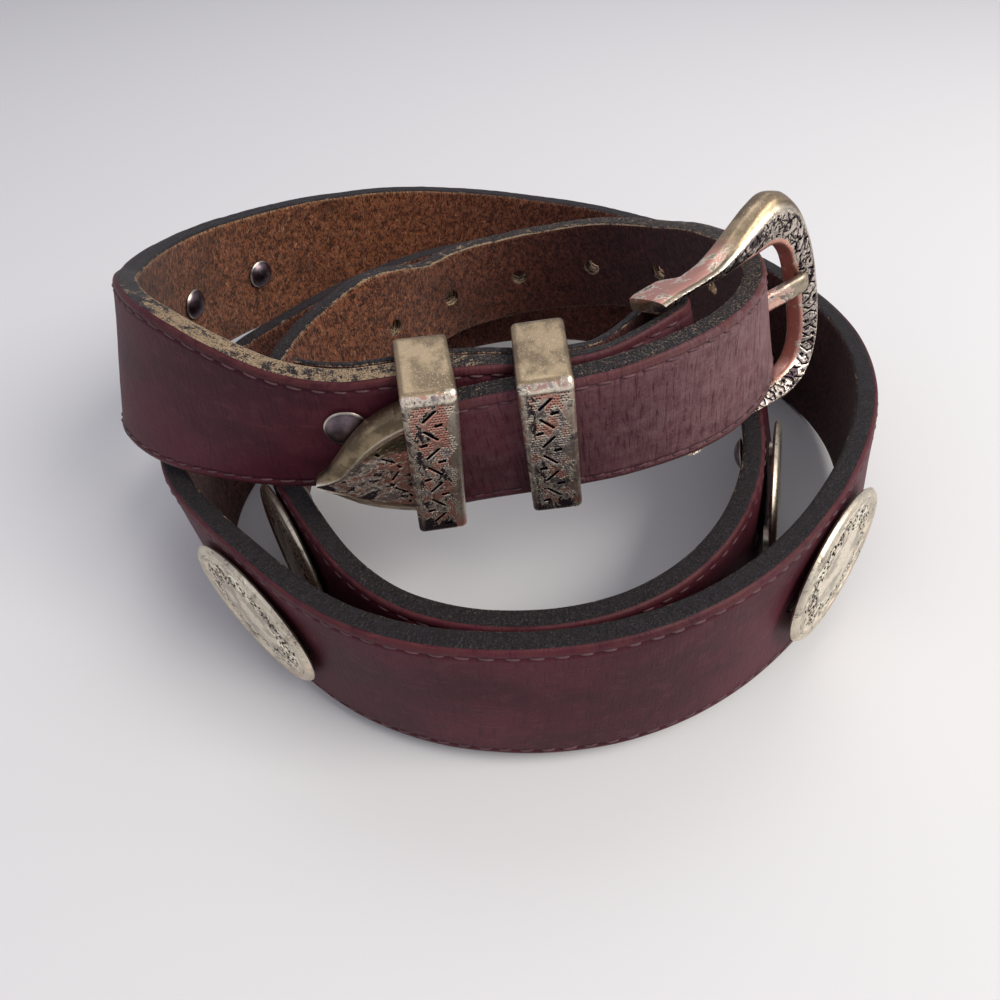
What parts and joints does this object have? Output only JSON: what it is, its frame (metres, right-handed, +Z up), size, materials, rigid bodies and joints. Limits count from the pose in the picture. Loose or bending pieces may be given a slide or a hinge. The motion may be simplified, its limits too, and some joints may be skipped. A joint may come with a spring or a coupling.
{
  "type": "western belt",
  "caption": "Fastened leather belt laid down coiled on its edge: engraved horseshoe buckle with prong, keepers and pointed tip, oval conchos screwed on outside.",
  "frame": {"origin": "middle of the bounding box in plan, on the floor the belt rests on", "axes": "+X to the viewer's right with the fastened buckle at the right front, +Y to the back, +Z up"},
  "size_m": [0.1672, 0.1584, 0.0702],
  "materials": {
    "oxblood_leather": "smooth worn oxblood outside, brown suede inside, black edges",
    "antique_silver": "engraved silver plate worn to copper and dark metal",
    "cream_silver": "cream tarnished silver, engraved",
    "dark_metal": "dark nickel domed caps, bright worn rims"
  },
  "bodies": {
    "root": {"strap": "oxblood_leather", "buckle_frame": "antique_silver", "prong": "antique_silver", "keeper_1": "antique_silver", "keeper_2": "antique_silver", "tip": "antique_silver", "fold_screw": "dark_metal", "concho_1": "cream_silver", "screw_1a": "dark_metal", "screw_1b": "dark_metal", "concho_2": "cream_silver", "screw_2a": "dark_metal", "screw_2b": "dark_metal", "concho_3": "cream_silver", "screw_3a": "dark_metal", "screw_3b": "dark_metal", "concho_4": "cream_silver", "screw_4a": "dark_metal", "screw_4b": "dark_metal", "concho_5": "cream_silver", "screw_5a": "dark_metal", "screw_5b": "dark_metal", "concho_6": "cream_silver", "screw_6a": "dark_metal", "screw_6b": "dark_metal", "concho_7": "cream_silver", "screw_7a": "dark_metal", "screw_7b": "dark_metal"}
  },
  "joints": []
}
